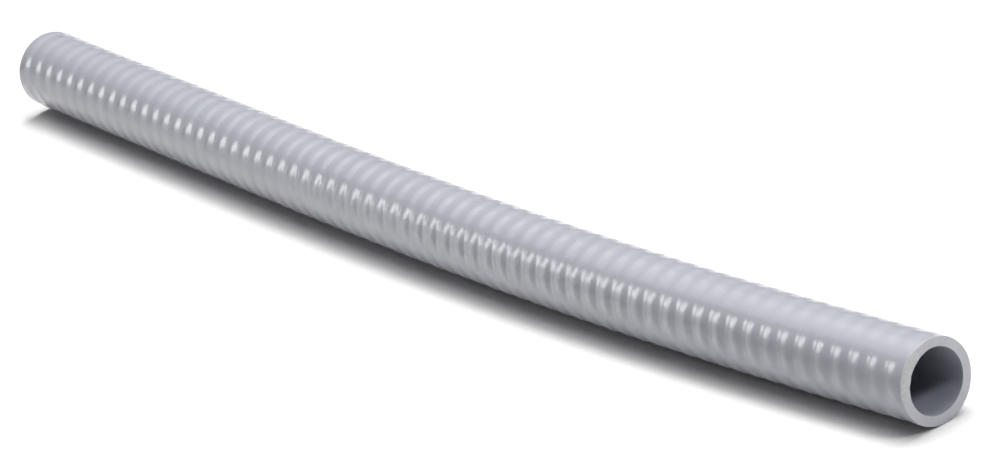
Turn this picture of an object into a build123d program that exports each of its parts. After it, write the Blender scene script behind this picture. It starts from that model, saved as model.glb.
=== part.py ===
from build123d import *
from math import atan2, ceil, comb, cos, degrees, floor, pi, sin
import numpy as np
import os

os.makedirs("parts", exist_ok=True)

# Driving dimensions, in mm, as for a half inch liquidtight conduit
crest_diameter = 21.1
wall_thickness = 2.525
rib_pitch = 6.2
rib_depth = 0.16

# Share of a pitch from a groove to the crest after it: the rise is longer than the fall
crest_place = 0.58

# Turns of the rib between the far cut and the first groove, on the side towards +Y
groove_start = 0.54

# Whole turns of the rib in each stretch of the piece, from the far end to the near end
far_straight_turns = 20
slack_bend_turns = 15
tight_bend_turns = 26
near_straight_turns = 4

# Radius of the centreline in the two bends, which curve the same way in the plane of the floor
slack_bend_radius = 3200.0
tight_bend_radius = 2000.0

# Sectors of a turn that the rib's flanks are made in, and the degree of their curves
sectors = 3
curve_degree = 5

crest_radius = crest_diameter / 2
groove_radius = crest_radius - rib_depth
bore_radius = crest_radius - wall_thickness
stretches = [
    (far_straight_turns * rib_pitch, 0.0),
    (slack_bend_turns * rib_pitch, 1 / slack_bend_radius),
    (tight_bend_turns * rib_pitch, 1 / tight_bend_radius),
    (near_straight_turns * rib_pitch, 0.0),
]
cut_length = sum(run for run, curvature in stretches)

# The lines along the rib, as a share of the pitch after the groove and a radius
rib_profile = [(0.0, groove_radius), (crest_place, crest_radius), (1.0, groove_radius)]


# Centreline in the floor plane: x, y and heading after a run of one curvature
def step(x, y, heading, run, curvature):
    if curvature == 0:
        return x + run * cos(heading), y + run * sin(heading), heading
    turned = heading + run * curvature
    dx = (sin(turned) - sin(heading)) / curvature
    dy = (cos(heading) - cos(turned)) / curvature
    return x + dx, y + dy, turned


# The heading at the far end that brings both ends of the piece to the same y
def heading_at_far_end():
    x, y, heading = 0.0, 0.0, 0.0
    for run, curvature in stretches:
        x, y, heading = step(x, y, heading, run, curvature)
    return -atan2(y, x)


far_heading = heading_at_far_end()


# Place on the centreline at a distance from the far end, straight on past either end
def station(distance):
    x, y, heading = 0.0, 0.0, far_heading
    for number, (run, curvature) in enumerate(stretches):
        last = number == len(stretches) - 1
        part_run = distance if last else min(distance, run)
        x, y, heading = step(x, y, heading, part_run, curvature)
        distance -= part_run
        if distance <= 0:
            break
    return x, y, heading


# Point at a radius from the centreline, with the angle counted from +Y upwards
def tube_point(distance, radius, angle):
    x, y, heading = station(distance)
    across = radius * cos(angle)
    return x - across * sin(heading), y + across * cos(heading), crest_radius + radius * sin(angle)


# Control points of the Bezier curve through points evenly spaced along it
def controls(points):
    degree = len(points) - 1
    rows = []
    for i in range(degree + 1):
        t = i / degree
        rows.append([comb(degree, k) * t**k * (1 - t) ** (degree - k) for k in range(degree + 1)])
    return [Vector(*point) for point in np.linalg.solve(rows, points)]


# One sector of a right-hand helix, that many turns after the rib's first groove
def helix(turns, radius, sector):
    points = []
    for i in range(curve_degree + 1):
        share = (sector + i / curve_degree) / sectors
        distance = (groove_start + turns + share) * rib_pitch
        points.append(tube_point(distance, radius, 2 * pi * share))
    return controls(points)


# One turn of the rib's flanks: the rise from the groove, and the fall to the next groove
def rib_turn(turn):
    faces = []
    for sector in range(sectors):
        lines = [helix(turn + place, radius, sector) for place, radius in rib_profile]
        faces += [Face.make_bezier_surface([first, second]) for first, second in zip(lines, lines[1:])]
    return faces


# Closing faces where the rib starts or stops: a helical ramp, and the flat step between its two ends
def rib_end(turn):
    faces = []
    for sector in range(sectors):
        inner, outer = helix(turn, 0.0, sector), helix(turn, groove_radius, sector)
        faces.append(Face.make_bezier_surface([inner, outer]))
    start = groove_start + turn
    outline = [tube_point((start + place) * rib_pitch, radius, 0.0) for place, radius in rib_profile]
    for sector in range(sectors, -1, -1):
        outline.append(tube_point((start + sector / sectors) * rib_pitch, 0.0, 0.0))
    return faces + [Face(Wire.make_polygon(outline, close=True))]


# Bar with the rib round it, over a turn longer than the piece at either end
def ribbed_bar():
    first_turn = floor(-groove_start) - 2
    last_turn = ceil(cut_length / rib_pitch - groove_start) + 1
    faces = rib_end(first_turn) + rib_end(last_turn)
    for turn in range(first_turn, last_turn):
        faces += rib_turn(turn)
    return Solid(Shell(faces))


# Plane square to the centreline, its x level and its z towards the near end
def cut_plane(distance):
    x, y, heading = station(distance)
    across = (-sin(heading), cos(heading), 0)
    return Plane((x, y, crest_radius), x_dir=across, z_dir=(cos(heading), sin(heading), 0))


# The space inside the bore along one stretch
def bore_space(start, run, curvature):
    plane = cut_plane(start)
    disc = plane * Circle(bore_radius)
    if curvature == 0:
        return extrude(disc, amount=run, dir=plane.z_dir)
    centre = plane.origin + plane.x_dir * (1 / curvature)
    return revolve(disc, Axis(centre, (0, 0, 1)), degrees(run * curvature))


# Square cuts at both ends of the bar, then the bore from one to the other
def conduit():
    piece = ribbed_bar().split(cut_plane(0.0), keep=Keep.TOP)
    piece = piece.split(cut_plane(cut_length), keep=Keep.BOTTOM)
    start = 0.0
    for run, curvature in stretches:
        piece -= bore_space(start, run, curvature)
        start += run
    return piece


# Origin under the middle of the piece, on the floor
def centred(piece):
    box = piece.bounding_box()
    middle = (box.min + box.max) / 2
    return Pos(-middle.X, -middle.Y, -box.min.Z) * piece


export_step(centred(conduit()), "parts/conduit.step")
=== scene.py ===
from math import cos, radians, sin

import bpy
import numpy as np
from mathutils import Matrix, Vector


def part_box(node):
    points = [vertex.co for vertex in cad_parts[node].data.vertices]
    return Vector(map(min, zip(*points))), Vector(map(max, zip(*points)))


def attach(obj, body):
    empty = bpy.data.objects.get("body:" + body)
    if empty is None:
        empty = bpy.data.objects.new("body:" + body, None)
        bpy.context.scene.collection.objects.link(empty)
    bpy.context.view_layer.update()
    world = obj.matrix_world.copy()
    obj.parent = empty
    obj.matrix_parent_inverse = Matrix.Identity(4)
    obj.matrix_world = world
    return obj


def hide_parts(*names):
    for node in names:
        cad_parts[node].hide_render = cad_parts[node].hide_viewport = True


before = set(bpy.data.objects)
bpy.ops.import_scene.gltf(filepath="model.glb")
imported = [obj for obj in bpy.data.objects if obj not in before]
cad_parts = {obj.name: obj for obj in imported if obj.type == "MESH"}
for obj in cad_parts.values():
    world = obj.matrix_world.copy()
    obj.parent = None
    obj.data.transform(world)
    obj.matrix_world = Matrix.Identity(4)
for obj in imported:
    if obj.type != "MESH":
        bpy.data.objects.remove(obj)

bl_info = {
    "name": "Ribbed Conduit",
    "version": (1, 0, 0),
    "blender": (4, 5, 0),
    "location": "3D View > Sidebar > Conduit",
    "description": "A cut length of spiral-ribbed plastic conduit, and the studio that it is shown in",
    "category": "Add Mesh",
}

CAD_NODE = "conduit"
CAD_LOW, CAD_HIGH = (np.array(corner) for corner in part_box(CAD_NODE))
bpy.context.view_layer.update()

TURN = 2 * np.pi
MICRON = 1e-6

# Faces once round the piece, along a turn of the rib and along the bore, and the gap that merges points
COLUMNS = 66
ROWS_PER_TURN = 20
BORE_ROWS = 60
MERGE_GAP = 1e-7

# Share of the rib's depth and phase of each cosine of the wave, and the wave's highest value. The shares and
# phases were worked out by a separate program, from slopes that it fitted to the tones of the photograph.
WAVE = ((0.462, 2.74), (0.064, -2.06), (0.036, -2.55), (0.021, -2.74))
WAVE_TOP = 0.489

# How high the turns are on average, and the share, radians a turn and phase of the sines that vary them
MEAN_HEIGHT = 0.94
UNEVEN = ((0.03, 1.9, 0.0), (0.03, 0.73, 1.0))

# The seam of the rib: its place after the groove in turns, and how fast it fades a turn away from there
SEAM_PLACE = 0.22
SEAM_FADE = 26.0

# Rings of a cut: angles of the rounded edges, and shares of the flat face from the outer edge inwards
QUARTER = np.radians([0.0, 22.5, 45.0, 67.5, 90.0])[:, None]
FACE_RINGS = np.array([0.04, 0.3, 0.6, 0.96])[:, None]

# Number of each finish among the piece's materials
JACKET, SAWN, BORE = range(3)

# Worn edges of the cuts: mean and spread, both in edge rounds, and the waves that go round the cut
NEAR_ROUND = (1.0, 0.3, (3, 7, 12))
NEAR_BURR = (0.6, 0.35, (5, 11, 19))
FAR_ROUND = (1.1, 0.4, (4, 9, 15))
FAR_BURR = (0.6, 0.35, (6, 13, 21))
TORN_ROUND = (1.8, 1.0, (9, 17, 26))
TORN_WIDTH = (8.0, 2.5, (8, 15, 23))
TORN_LIP = (1.8, 0.8, (5, 13, 21))

# The torn part of the near cut: the angle of its middle from +Y upwards, how fast it ends to either side,
# and how strongly it shows in the rings from the jacket inwards
TEAR_ANGLE = radians(143)
TEAR_SLOPE, TEAR_DROP = 4.0, 2.6
TEAR_FADE = (0.6, 0.8, 1.0, 1.0, 1.0, 0.9, 0.7, 0.6, 0.6, 0.6)

JACKET_IOR = 1.53
SAWN_IOR = 1.5
BORE_IOR = 1.5
FLOOR_ROUGHNESS = 0.22

# Half the side of the studio floor, the width of the camera's sensor in mm, and how far the camera sees
FLOOR_REACH = 4.0
SENSOR_WIDTH = 36.0
VIEW_REACH = 20.0

# The way that the studio's ceiling faces, and the dot products with it where it starts and is full
CEILING_AXIS = (0.0, 0.139, 0.990)
CEILING_START, CEILING_FULL = 0.36, 0.76

# Each light: name, way from the middle of the piece, distance, width and height, and the power's property
LIGHTS = (
    ("overhead_softbox", (-0.10, 0.10, 0.98), 2.2, (1.8, 1.8), "overhead_power"),
    ("back_softbox", (-0.15, 0.45, 0.87), 2.2, (1.8, 1.8), "back_power"),
    ("far_softbox", (-0.68, 0.03, 0.732), 2.2, (1.6, 0.9), "far_power"),
    ("front_softbox", (0.20, -0.45, 0.87), 2.2, (1.2, 1.2), "front_power"),
    ("mouth_softbox", (0.68, 0.18, 0.71), 2.0, (0.4, 0.4), "mouth_power"),
    ("strip_light", (-0.791, -0.505, 0.346), 12.0, (2.0, 4.0), "strip_power"),
    ("low_softbox", (-0.83, -0.54, 0.09), 3.0, (0.8, 0.5), "low_power"),
)


class ConduitShape(bpy.types.PropertyGroup):
    """Sizes and bends of the piece"""
    crest_diameter: bpy.props.FloatProperty(
        name="Crest Diameter", description="Outside diameter over the rib",
        default=0.02108, unit="LENGTH", precision=5)
    bore_diameter: bpy.props.FloatProperty(
        name="Bore Diameter", description="Inside diameter",
        default=0.01605, unit="LENGTH", precision=5)
    rib_pitch: bpy.props.FloatProperty(
        name="Rib Pitch", description="Distance along the piece from one groove to the next",
        default=0.0062, unit="LENGTH", precision=5)
    rib_depth: bpy.props.FloatProperty(
        name="Rib Depth", description="Height of the crest over the groove",
        default=0.00016, unit="LENGTH", precision=5)
    groove_start: bpy.props.FloatProperty(
        name="Groove Start", description="Turns from the far cut to the first groove, on the +Y side",
        default=0.54, min=0.0, max=1.0)
    edge_round: bpy.props.FloatProperty(
        name="Edge Round", description="Radius of the worn outer edge of the cuts",
        default=0.00016, unit="LENGTH", precision=5)
    far_straight_turns: bpy.props.IntProperty(
        name="Far Straight", description="Turns of the rib in the straight stretch at the far end",
        default=20)
    slack_bend_turns: bpy.props.IntProperty(
        name="Slack Bend", description="Turns of the rib in the slack bend",
        default=15)
    tight_bend_turns: bpy.props.IntProperty(
        name="Tight Bend", description="Turns of the rib in the tight bend",
        default=26)
    near_straight_turns: bpy.props.IntProperty(
        name="Near Straight", description="Turns of the rib in the straight stretch at the near end",
        default=4)
    slack_bend_radius: bpy.props.FloatProperty(
        name="Slack Bend Radius", description="Radius of the centreline in the slack bend",
        default=3.2, unit="LENGTH")
    tight_bend_radius: bpy.props.FloatProperty(
        name="Tight Bend Radius", description="Radius of the centreline in the tight bend",
        default=2.0, unit="LENGTH")


class ConduitFinish(bpy.types.PropertyGroup):
    """Colours of the piece and of the floor"""
    jacket_colour: bpy.props.FloatVectorProperty(
        name="Jacket", description="Colour of the ribbed outside", subtype="COLOR", size=4,
        default=(0.32, 0.325, 0.362, 1.0), min=0.0, max=1.0)
    cut_colour: bpy.props.FloatVectorProperty(
        name="Cut", description="Colour of the sawn ends", subtype="COLOR", size=4,
        default=(0.43, 0.43, 0.475, 1.0), min=0.0, max=1.0)
    torn_colour: bpy.props.FloatVectorProperty(
        name="Torn Edge", description="Colour of the torn edge of the near cut", subtype="COLOR", size=4,
        default=(0.47, 0.475, 0.475, 1.0), min=0.0, max=1.0)
    bore_colour: bpy.props.FloatVectorProperty(
        name="Bore", description="Colour of the smooth inside", subtype="COLOR", size=4,
        default=(0.30, 0.31, 0.36, 1.0), min=0.0, max=1.0)
    floor_colour: bpy.props.FloatVectorProperty(
        name="Floor", description="Colour of the studio floor", subtype="COLOR", size=4,
        default=(0.77, 0.77, 0.77, 1.0), min=0.0, max=1.0)


class ConduitStudio(bpy.types.PropertyGroup):
    """Camera, lights and room"""
    lens: bpy.props.FloatProperty(
        name="Lens", description="Focal length for a 36 mm sensor",
        default=215.6, unit="CAMERA")
    camera_distance: bpy.props.FloatProperty(
        name="Camera Distance", description="Distance from the camera to the middle of the piece",
        default=1.5038, unit="LENGTH")
    camera_azimuth: bpy.props.FloatProperty(
        name="Camera Azimuth", description="Angle of the camera round the piece, from -Y towards +X",
        default=radians(60.673), subtype="ANGLE")
    camera_elevation: bpy.props.FloatProperty(
        name="Camera Elevation", description="Angle of the camera above the floor",
        default=radians(21.591), subtype="ANGLE")
    camera_roll: bpy.props.FloatProperty(
        name="Camera Roll", description="Turn of the picture about the line of sight",
        default=radians(-13.598), subtype="ANGLE")
    aim_right: bpy.props.FloatProperty(
        name="Aim Right", description="Offset of the camera to its level right",
        default=0.01715, unit="LENGTH", precision=5)
    aim_up: bpy.props.FloatProperty(
        name="Aim Up", description="Offset of the camera upwards, square to its line of sight",
        default=0.00089, unit="LENGTH", precision=5)
    overhead_power: bpy.props.FloatProperty(
        name="Overhead Power", description="Power of the large soft light overhead",
        default=50.0, unit="POWER")
    back_power: bpy.props.FloatProperty(
        name="Back Power", description="Power of the large soft light behind",
        default=45.0, unit="POWER")
    far_power: bpy.props.FloatProperty(
        name="Far Power", description="Power of the soft light over the far end",
        default=5.5, unit="POWER")
    front_power: bpy.props.FloatProperty(
        name="Front Power", description="Power of the soft light in front",
        default=1.5, unit="POWER")
    mouth_power: bpy.props.FloatProperty(
        name="Mouth Power", description="Power of the light into the near mouth",
        default=16.0, unit="POWER")
    strip_power: bpy.props.FloatProperty(
        name="Strip Power", description="Power of the tall bright light at the far left",
        default=165.0, unit="POWER")
    low_power: bpy.props.FloatProperty(
        name="Low Power", description="Power of the faint light under the tall one",
        default=2.4, unit="POWER")
    wall_brightness: bpy.props.FloatProperty(
        name="Wall Brightness", description="Brightness of the studio near the floor",
        default=0.02, min=0.0)
    ceiling_brightness: bpy.props.FloatProperty(
        name="Ceiling Brightness", description="Brightness of the studio overhead",
        default=0.06, min=0.0)


def stretches(shape):
    """Length and curvature of each stretch of the piece, from the far end to the near end."""
    return np.array([
        (shape.far_straight_turns * shape.rib_pitch, 0.0),
        (shape.slack_bend_turns * shape.rib_pitch, 1 / shape.slack_bend_radius),
        (shape.tight_bend_turns * shape.rib_pitch, 1 / shape.tight_bend_radius),
        (shape.near_straight_turns * shape.rib_pitch, 0.0),
    ])


def chord(heading, run, curvature):
    """Step along an arc: its chord is the run times sin(half the turn) over half the turn,
    and it points along the heading turned by half the turn."""
    half = run * curvature / 2
    length = run * np.sinc(half / np.pi)
    return length * np.cos(heading + half), length * np.sin(heading + half)


def centreline(shape, distance):
    """Place and heading at distances from the far end, with both ends of the piece at the same y.

    The heading grows by curvature times distance, and each place is the start of its stretch plus a
    chord."""
    lengths, curvatures = stretches(shape).T
    starts, headings, xs, ys = [0.0], [0.0], [0.0], [0.0]
    for run, curvature in zip(lengths, curvatures):
        dx, dy = chord(headings[-1], run, curvature)
        starts.append(starts[-1] + run)
        headings.append(headings[-1] + run * curvature)
        xs.append(xs[-1] + dx)
        ys.append(ys[-1] + dy)
    which = np.clip(np.searchsorted(starts, distance, side="right") - 1, 0, len(lengths) - 1)
    starts, headings, xs, ys = map(np.array, (starts, headings, xs, ys))
    dx, dy = chord(headings[which], distance - starts[which], curvatures[which])
    x, y = xs[which] + dx, ys[which] + dy
    level = -np.arctan2(ys[-1], xs[-1])
    return (x * np.cos(level) - y * np.sin(level), x * np.sin(level) + y * np.cos(level),
            headings[which] + (distance - starts[which]) * curvatures[which] + level)


def tube_points(shape, distance, angle, radius):
    """Points at a radius from the centreline: the radius is carried across by its cosine and up by its
    sine, with the angle counted from +Y upwards."""
    x, y, heading = centreline(shape, distance)
    across = radius * np.cos(angle)
    up = shape.crest_diameter / 2 + radius * np.sin(angle)
    return np.stack((x - across * np.sin(heading), y + across * np.cos(heading), up), axis=-1)


def rib_turn(shape, distance, angle):
    """Turns of the right-hand rib since its first groove, a whole number in every groove."""
    return distance / shape.rib_pitch - shape.groove_start - angle / TURN


def rib_height(shape, turn):
    """Height of the jacket, at most 0 on a crest.

    The wave is a sum of cosines, one for each row of WAVE: its share of the depth times the cosine of a
    whole number of waves a turn, moved by its phase. It falls a little faster than it rises. The slow sines
    of UNEVEN are added to MEAN_HEIGHT, and the wave is multiplied by the sum."""
    count = np.arange(1, len(WAVE) + 1)[:, None, None]
    share, phase = np.array(WAVE).T[:, :, None, None]
    wave = (share * np.cos(TURN * count * turn + phase)).sum(axis=0)
    uneven = MEAN_HEIGHT + sum(size * np.sin(rate * turn + start) for size, rate, start in UNEVEN)
    return shape.rib_depth * (wave - WAVE_TOP) * uneven


def ragged(angle, waves):
    """Unevenness round a cut, from -1 to 1: a mean of sines with whole numbers of waves, each started at
    1.7 times its number of waves to the power 1.3."""
    return sum(np.sin(count * angle + 1.7 * count**1.3) for count in waves) / len(waves)


def worn(shape, angle, wear):
    """Width of a worn edge round a cut: the edge's radius times the sum of the wear's mean and its spread
    times the unevenness."""
    mean, spread, waves = wear
    return shape.edge_round * (mean + spread * ragged(angle, waves))


def jacket_grid(shape, length, near_round, far_round):
    """Distance and angle over the jacket: evenly spaced rows follow the rib, and columns go once round.

    The distance is the pitch times the sum of the groove's start, the row's turns and the angle's share of
    a turn. Rows that run past a cut are held at its edge."""
    first = np.floor(-shape.groove_start) - 1
    last = np.ceil(length / shape.rib_pitch - shape.groove_start)
    turns = first + np.arange(0, (last - first) * ROWS_PER_TURN + 1) / ROWS_PER_TURN
    angle = np.broadcast_to(np.linspace(0, TURN, COLUMNS + 1), (len(turns), COLUMNS + 1))
    distance = (shape.groove_start + turns[:, None] + angle / TURN) * shape.rib_pitch
    distance = np.clip(distance, far_round, length - near_round)
    return distance, angle


def cut_profile(shape, outer, outer_round, outer_width, inner_round, lip):
    """Depth behind the cut and radius, in rings from the jacket's edge to the bore's.

    The outer edge is a quarter oval, as deep as outer_round times one less the sine and as wide as
    outer_width times one less the cosine. The flat face runs on to the inner edge, a quarter round the
    other way about, which the lip of torn plastic carries further in by the cosine."""
    bore = shape.bore_diameter / 2
    face_outer, face_inner = outer - outer_width, bore + inner_round - lip
    depth = [outer_round * (1 - np.sin(QUARTER)),
             np.zeros((len(FACE_RINGS), len(outer))),
             (inner_round + lip) * (1 - np.cos(QUARTER))]
    radius = [outer - outer_width * (1 - np.cos(QUARTER)),
              face_outer + (face_inner - face_outer) * FACE_RINGS,
              bore + inner_round * (1 - np.sin(QUARTER)) - lip * np.cos(QUARTER)]
    return np.concatenate(depth), np.concatenate(radius)


def conduit_surface(shape):
    """The whole skin as one grid: out along the jacket, over the near cut, back through the bore and over
    the far cut. Gives points, turns of the rib, how torn the cut is and the finish of each row.

    On the jacket the first and last column don't quite meet. They are a turn of the rib apart, and the
    sines of UNEVEN don't repeat from turn to turn, so there is a step of up to 11 microns between them.

    The near cut is torn by TEAR_SLOPE times the cosine of the angle from TEAR_ANGLE, less TEAR_DROP, held
    between 0 and 1."""
    length = stretches(shape)[:, 0].sum()
    around = np.linspace(0, TURN, COLUMNS + 1)
    torn = np.clip(np.cos(around - TEAR_ANGLE) * TEAR_SLOPE - TEAR_DROP, 0, 1)
    near_round = worn(shape, around, NEAR_ROUND) + torn * worn(shape, around, TORN_ROUND)
    near_width = near_round + torn * worn(shape, around, TORN_WIDTH)
    near_burr = worn(shape, around, NEAR_BURR)
    near_lip = torn * worn(shape, around, TORN_LIP)
    far_round = worn(shape, around, FAR_ROUND)
    far_burr = worn(shape, around, FAR_BURR)

    distance, angle = jacket_grid(shape, length, near_round, far_round)
    jacket_rows = len(distance)
    radius = shape.crest_diameter / 2 + rib_height(shape, rib_turn(shape, distance, angle))

    near_depth, near_radius = cut_profile(shape, radius[-1], near_round, near_width, near_burr, near_lip)
    far_depth, far_radius = cut_profile(shape, radius[0], far_round, far_round, far_burr, 0)
    along = np.linspace(1, 0, BORE_ROWS + 1)[1:-1, None]
    bore_distance = far_burr + (length - near_burr - near_lip - far_burr) * along
    bore_radius = np.full(bore_distance.shape, shape.bore_diameter / 2)

    distance = np.concatenate((distance, length - near_depth, bore_distance, far_depth[::-1]))
    radius = np.concatenate((radius, near_radius, bore_radius, far_radius[::-1]))
    angle = np.concatenate((angle, np.broadcast_to(around, (len(distance) - jacket_rows, len(around)))))
    rows = [jacket_rows, len(near_depth) - 1, len(along) + 1, len(far_depth) - 1]
    finish = np.repeat([JACKET, SAWN, BORE, SAWN], rows)
    tear = np.zeros(distance.shape)
    tear[jacket_rows:jacket_rows + len(TEAR_FADE)] = np.array(TEAR_FADE)[:, None] * torn
    points = tube_points(shape, distance, angle, radius)
    return points, rib_turn(shape, distance, angle), tear, finish


def settled(points):
    """The points moved so that their box stands on the middle of the CAD node's box, and the move."""
    low, high = points.reshape(-1, 3).min(axis=0), points.reshape(-1, 3).max(axis=0)
    shift = (CAD_LOW + CAD_HIGH - low - high) / 2
    return points + shift, shift


def grid_mesh(name, points, values, finish):
    """Mesh of a grid: points that coincide become one, and the squares that this closes up become
    triangles or go. The values by name are kept on the corners of the faces.

    Where the first and last column are further apart than MERGE_GAP, as on the jacket, the mesh is open
    between them. The test at the end finds broken faces, but no open edges."""
    rows, columns = points.shape[:2]
    flat = points.reshape(-1, 3)
    keys = np.round(flat / MERGE_GAP)
    first, same = np.unique(keys, axis=0, return_index=True, return_inverse=True)[1:]
    number = np.arange(rows * columns).reshape(rows, columns)
    squares = np.stack((number[:-1, :-1], number[:-1, 1:], number[1:, 1:], number[1:, :-1]), axis=-1)
    squares = squares.reshape(-1, 4)
    merged = same.reshape(-1)[squares]
    kept = merged != np.roll(merged, 1, axis=1)
    corners = kept.sum(axis=1)
    whole = corners >= 3
    kept, corners = kept[whole], corners[whole]
    vertices, sources = merged[whole][kept], squares[whole][kept]

    mesh = bpy.data.meshes.new(name)
    mesh.vertices.add(len(first))
    mesh.vertices.foreach_set("co", flat[first].astype(np.float32).ravel())
    mesh.loops.add(len(vertices))
    mesh.loops.foreach_set("vertex_index", vertices.astype(np.int32))
    mesh.polygons.add(len(corners))
    mesh.polygons.foreach_set("loop_start", (np.cumsum(corners) - corners).astype(np.int32))
    mesh.polygons.foreach_set("material_index", np.repeat(finish, columns - 1)[whole].astype(np.int32))
    for key, value in values.items():
        mesh.attributes.new(key, "FLOAT", "CORNER")
        mesh.attributes[key].data.foreach_set("value", value.ravel()[sources].astype(np.float32))
    mesh.update(calc_edges=True)
    mesh.polygons.foreach_set("use_smooth", np.ones(len(corners), dtype=bool))
    if mesh.validate():
        raise RuntimeError("the conduit's mesh has broken faces")
    return mesh


class Nodes:
    """A material's node tree, with short calls that add a node and join it up."""

    def __init__(self, name):
        self.material = bpy.data.materials.new(name)
        self.material.use_nodes = True
        self.tree = self.material.node_tree
        self.shader = self.tree.nodes["Principled BSDF"]

    def add(self, kind, **settings):
        """A new node, with its settings by name."""
        node = self.tree.nodes.new(kind)
        for key, value in settings.items():
            setattr(node, key, value)
        return node

    def join(self, source, target):
        """A link from an output to an input."""
        self.tree.links.new(source, target)

    def place(self, scale):
        """Object coordinates, stretched by a scale for each axis."""
        where = self.add("ShaderNodeTexCoord")
        mapping = self.add("ShaderNodeMapping")
        mapping.inputs["Scale"].default_value = scale
        self.join(where.outputs["Object"], mapping.inputs["Vector"])
        return mapping.outputs["Vector"]

    def noise(self, scale, detail=2.0, roughness=0.5):
        """Noise from 0 to 1, with a scale for each axis in waves a metre."""
        node = self.add("ShaderNodeTexNoise")
        node.inputs["Scale"].default_value = 1.0
        node.inputs["Detail"].default_value = detail
        node.inputs["Roughness"].default_value = roughness
        self.join(self.place(scale), node.inputs["Vector"])
        return node.outputs["Fac"]

    def math(self, operation, first, second=None, third=None):
        """The result of a Math node on sockets or plain numbers."""
        node = self.add("ShaderNodeMath", operation=operation)
        for socket, value in zip(node.inputs, (first, second, third)):
            if isinstance(value, (int, float)):
                socket.default_value = value
            elif value is not None:
                self.join(value, socket)
        return node.outputs[0]

    def scaled(self, value, low, high):
        """A value from 0 to 1 spread from low to high."""
        return self.math("MULTIPLY_ADD", value, high - low, low)

    def shade(self, colour, factor):
        """The colour multiplied by a grey factor."""
        node = self.add("ShaderNodeVectorMath", operation="SCALE")
        node.inputs[0].default_value = colour[:3]
        self.join(factor, node.inputs["Scale"])
        return node.outputs[0]

    def bump(self, height, metres):
        """A normal from a height between 0 and 1 that stands for so many metres."""
        node = self.add("ShaderNodeBump")
        node.inputs["Distance"].default_value = metres
        self.join(height, node.inputs["Height"])
        return node


def jacket_material(colour):
    """Semi-gloss PVC: slow changes of tone, drawn streaks along the piece and a fine seam that follows the
    rib, bumped as a shallow groove, with painted shade darkening its tone."""
    nodes = Nodes("jacket_pvc")
    turn = nodes.add("ShaderNodeAttribute", attribute_name="rib_turn").outputs["Fac"]
    share = nodes.math("FRACT", turn)
    from_seam = nodes.math("ABSOLUTE", nodes.math("SUBTRACT", share, SEAM_PLACE))
    seam = nodes.math("SMOOTH_MIN", nodes.math("MULTIPLY", from_seam, SEAM_FADE), 1.0, 0.5)
    tone = nodes.scaled(nodes.noise((40, 120, 120), detail=3.0), 0.94, 1.06)
    # The darker tone along the seam is painted shade, standing in for the shade of the seam's shallow groove
    tone = nodes.math("MULTIPLY", tone, nodes.scaled(seam, 0.945, 1.0))
    nodes.join(nodes.shade(colour, tone), nodes.shader.inputs["Base Color"])
    rough = nodes.scaled(nodes.noise((60, 500, 500), detail=4.0), 0.15, 0.21)
    nodes.join(rough, nodes.shader.inputs["Roughness"])

    peel = nodes.bump(nodes.noise((700, 700, 700), detail=2.0), 3 * MICRON)
    streaks = nodes.bump(nodes.noise((25, 700, 700), detail=2.0), 4 * MICRON)
    seam_bump = nodes.bump(seam, 14 * MICRON)
    nodes.join(peel.outputs["Normal"], streaks.inputs["Normal"])
    nodes.join(streaks.outputs["Normal"], seam_bump.inputs["Normal"])
    nodes.join(seam_bump.outputs["Normal"], nodes.shader.inputs["Normal"])
    nodes.shader.inputs["IOR"].default_value = JACKET_IOR
    return nodes.material


def cut_material(colour, torn_colour):
    """Sawn PVC: matt, with fine straight saw marks and a mottled tone, and lighter, flecked and lumpy
    where it is torn."""
    nodes = Nodes("sawn_pvc")
    marks = nodes.noise((10, 300, 2600), detail=3.0)
    mottle = nodes.noise((500, 500, 500), detail=3.0)
    flecks = nodes.noise((2200, 1100, 1100), detail=4.0, roughness=0.7)
    tone = nodes.math("MULTIPLY", nodes.scaled(mottle, 0.93, 1.07), nodes.scaled(marks, 0.97, 1.03))
    torn = nodes.add("ShaderNodeAttribute", attribute_name="tear").outputs["Fac"]
    mix = nodes.add("ShaderNodeMix", data_type="RGBA")
    nodes.join(torn, mix.inputs["Factor"])
    nodes.join(nodes.shade(colour, tone), mix.inputs["A"])
    nodes.join(nodes.shade(torn_colour, nodes.scaled(flecks, 0.55, 1.35)), mix.inputs["B"])
    nodes.join(mix.outputs["Result"], nodes.shader.inputs["Base Color"])
    nodes.join(nodes.scaled(mottle, 0.45, 0.65), nodes.shader.inputs["Roughness"])
    bump = nodes.bump(nodes.math("MULTIPLY_ADD", flecks, torn, marks), 40 * MICRON)
    nodes.join(bump.outputs["Normal"], nodes.shader.inputs["Normal"])
    nodes.shader.inputs["IOR"].default_value = SAWN_IOR
    return nodes.material


def bore_material(colour):
    """Smooth extruded PVC: faint streaks along the bore and a slightly cloudy gloss."""
    nodes = Nodes("bore_pvc")
    streaks = nodes.noise((12, 500, 500), detail=3.0)
    tone = nodes.scaled(streaks, 0.93, 1.07)
    nodes.join(nodes.shade(colour, tone), nodes.shader.inputs["Base Color"])
    nodes.join(nodes.scaled(streaks, 0.30, 0.44), nodes.shader.inputs["Roughness"])
    bump = nodes.bump(streaks, 20 * MICRON)
    nodes.join(bump.outputs["Normal"], nodes.shader.inputs["Normal"])
    nodes.shader.inputs["IOR"].default_value = BORE_IOR
    return nodes.material


def floor_material(colour):
    """Satin white board with a barely uneven tone."""
    nodes = Nodes("floor_board")
    tone = nodes.scaled(nodes.noise((6, 6, 6), detail=2.0), 0.99, 1.0)
    nodes.join(nodes.shade(colour, tone), nodes.shader.inputs["Base Color"])
    nodes.shader.inputs["Roughness"].default_value = FLOOR_ROUGHNESS
    return nodes.material


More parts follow.
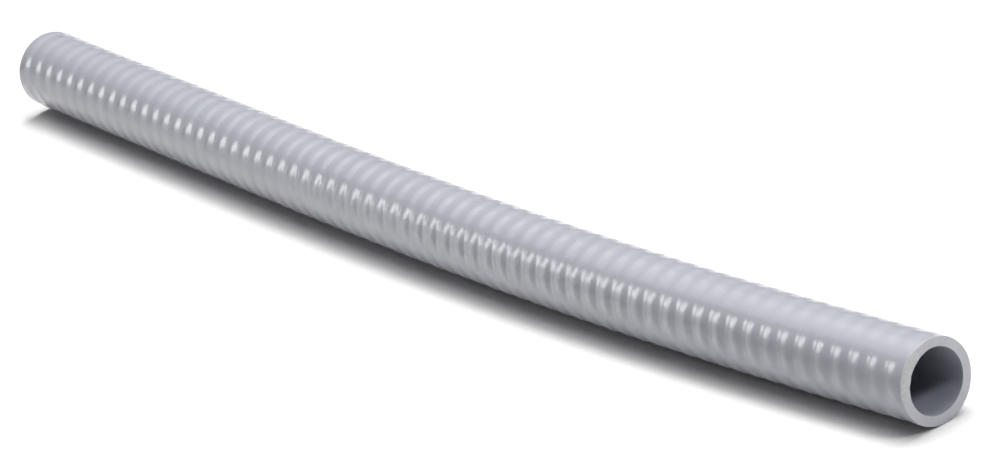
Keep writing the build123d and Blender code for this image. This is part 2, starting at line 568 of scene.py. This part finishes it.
def studio_world(wall, ceiling):
    """Faint light from the studio itself: nearly dark walls, and a slightly lighter ceiling that leans
    towards the back. It brightens with the dot product of the direction and CEILING_AXIS."""
    world = bpy.data.worlds.new("studio_room")
    world.use_nodes = True
    tree = world.node_tree
    where = tree.nodes.new("ShaderNodeTexCoord")
    rise = tree.nodes.new("ShaderNodeVectorMath")
    rise.operation = "DOT_PRODUCT"
    rise.inputs[1].default_value = CEILING_AXIS
    spread = tree.nodes.new("ShaderNodeMapRange")
    ends = {"From Min": CEILING_START, "From Max": CEILING_FULL, "To Min": wall, "To Max": ceiling}
    for socket, value in ends.items():
        spread.inputs[socket].default_value = value
    tree.links.new(where.outputs["Generated"], rise.inputs[0])
    tree.links.new(rise.outputs["Value"], spread.inputs["Value"])
    tree.links.new(spread.outputs["Result"], tree.nodes["Background"].inputs["Strength"])
    tree.nodes["Background"].inputs["Color"].default_value = (1.0, 1.0, 1.0, 1.0)
    return world


def add_object(name, data):
    """A new object in the scene, at the origin."""
    thing = bpy.data.objects.new(name, data)
    bpy.context.scene.collection.objects.link(thing)
    return thing


def add_light(name, direction, distance, size, power):
    """Rectangular light at a distance from the middle of the piece, turned towards it."""
    data = bpy.data.lights.new(name, "AREA")
    data.shape = "RECTANGLE"
    data.size, data.size_y = size
    data.energy = power
    lamp = add_object(name, data)
    towards = Vector(direction).normalized()
    lamp.location = towards * distance
    lamp.rotation_euler = towards.to_track_quat("Z", "Y").to_euler()


def add_camera(studio, target):
    """Camera at an azimuth, elevation and distance from the target, slid aside and rolled."""
    azimuth, elevation = studio.camera_azimuth, studio.camera_elevation
    back = Vector((sin(azimuth) * cos(elevation), -cos(azimuth) * cos(elevation), sin(elevation)))
    right = Vector((cos(azimuth), sin(azimuth), 0.0))
    up = back.cross(right)
    place = target + back * studio.camera_distance + right * studio.aim_right + up * studio.aim_up
    turned_right = right * cos(studio.camera_roll) + up * sin(studio.camera_roll)
    turned_up = up * cos(studio.camera_roll) - right * sin(studio.camera_roll)
    data = bpy.data.cameras.new("camera")
    data.lens = studio.lens
    data.sensor_width = SENSOR_WIDTH
    data.clip_end = VIEW_REACH
    camera = add_object("camera", data)
    turn = Matrix((turned_right, turned_up, back)).transposed().to_4x4()
    camera.matrix_world = Matrix.Translation(place) @ turn
    bpy.context.scene.camera = camera


class CONDUIT_OT_build_conduit(bpy.types.Operator):
    """Builds the ribbed conduit with its sawn ends and its bore, in place of the CAD solid"""
    bl_idname = "conduit.build_conduit"
    bl_label = "Build Conduit"

    def execute(self, context):
        shape, finish = context.scene.conduit_shape, context.scene.conduit_finish
        points, turn, tear, finishes = conduit_surface(shape)
        points = settled(points)[0]
        mesh = grid_mesh("ribbed_conduit", points, {"rib_turn": turn, "tear": tear}, finishes)
        mesh.materials.append(jacket_material(finish.jacket_colour))
        mesh.materials.append(cut_material(finish.cut_colour, finish.torn_colour))
        mesh.materials.append(bore_material(finish.bore_colour))
        piece = add_object("ribbed_conduit", mesh)
        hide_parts(CAD_NODE)
        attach(piece, "root")
        return {"FINISHED"}


class CONDUIT_OT_build_studio(bpy.types.Operator):
    """Builds the pale floor, the soft lights and the camera"""
    bl_idname = "conduit.build_studio"
    bl_label = "Build Studio"

    def execute(self, context):
        scene = context.scene
        shape, studio = scene.conduit_shape, scene.conduit_studio
        near, far = FLOOR_REACH, -FLOOR_REACH
        card = [(far, far, 0.0), (near, far, 0.0), (near, near, 0.0), (far, near, 0.0)]
        mesh = bpy.data.meshes.new("floor")
        mesh.from_pydata(card, [], [(0, 1, 2, 3)])
        mesh.materials.append(floor_material(scene.conduit_finish.floor_colour))
        add_object("floor", mesh)

        scene.world = studio_world(studio.wall_brightness, studio.ceiling_brightness)
        scene.view_settings.view_transform = "Standard"
        for name, direction, distance, size, power in LIGHTS:
            add_light(name, direction, distance, size, getattr(studio, power))

        shift = settled(conduit_surface(shape)[0])[1]
        half_way = stretches(shape)[:, 0].sum() / 2
        x, y = centreline(shape, np.array([half_way]))[:2]
        add_camera(studio, Vector((x[0] + shift[0], y[0] + shift[1], 0.0)))
        return {"FINISHED"}


class CONDUIT_PT_panel(bpy.types.Panel):
    """Sizes, colours and studio of the conduit"""
    bl_idname = "CONDUIT_PT_panel"
    bl_label = "Ribbed Conduit"
    bl_space_type = "VIEW_3D"
    bl_region_type = "UI"
    bl_category = "Conduit"

    def draw(self, context):
        for name in ("conduit_shape", "conduit_finish", "conduit_studio"):
            group = getattr(context.scene, name)
            box = self.layout.box()
            for key in group.__annotations__:
                box.prop(group, key)
        self.layout.operator(CONDUIT_OT_build_conduit.bl_idname)
        self.layout.operator(CONDUIT_OT_build_studio.bl_idname)


CLASSES = (ConduitShape, ConduitFinish, ConduitStudio, CONDUIT_OT_build_conduit, CONDUIT_OT_build_studio,
           CONDUIT_PT_panel)


def register():
    for cls in CLASSES:
        bpy.utils.register_class(cls)
    bpy.types.Scene.conduit_shape = bpy.props.PointerProperty(type=ConduitShape)
    bpy.types.Scene.conduit_finish = bpy.props.PointerProperty(type=ConduitFinish)
    bpy.types.Scene.conduit_studio = bpy.props.PointerProperty(type=ConduitStudio)


def unregister():
    del bpy.types.Scene.conduit_studio
    del bpy.types.Scene.conduit_finish
    del bpy.types.Scene.conduit_shape
    for cls in reversed(CLASSES):
        bpy.utils.unregister_class(cls)


def main():
    register()
    bpy.ops.conduit.build_conduit()
    bpy.ops.conduit.build_studio()


if __name__ == "__main__":
    main()
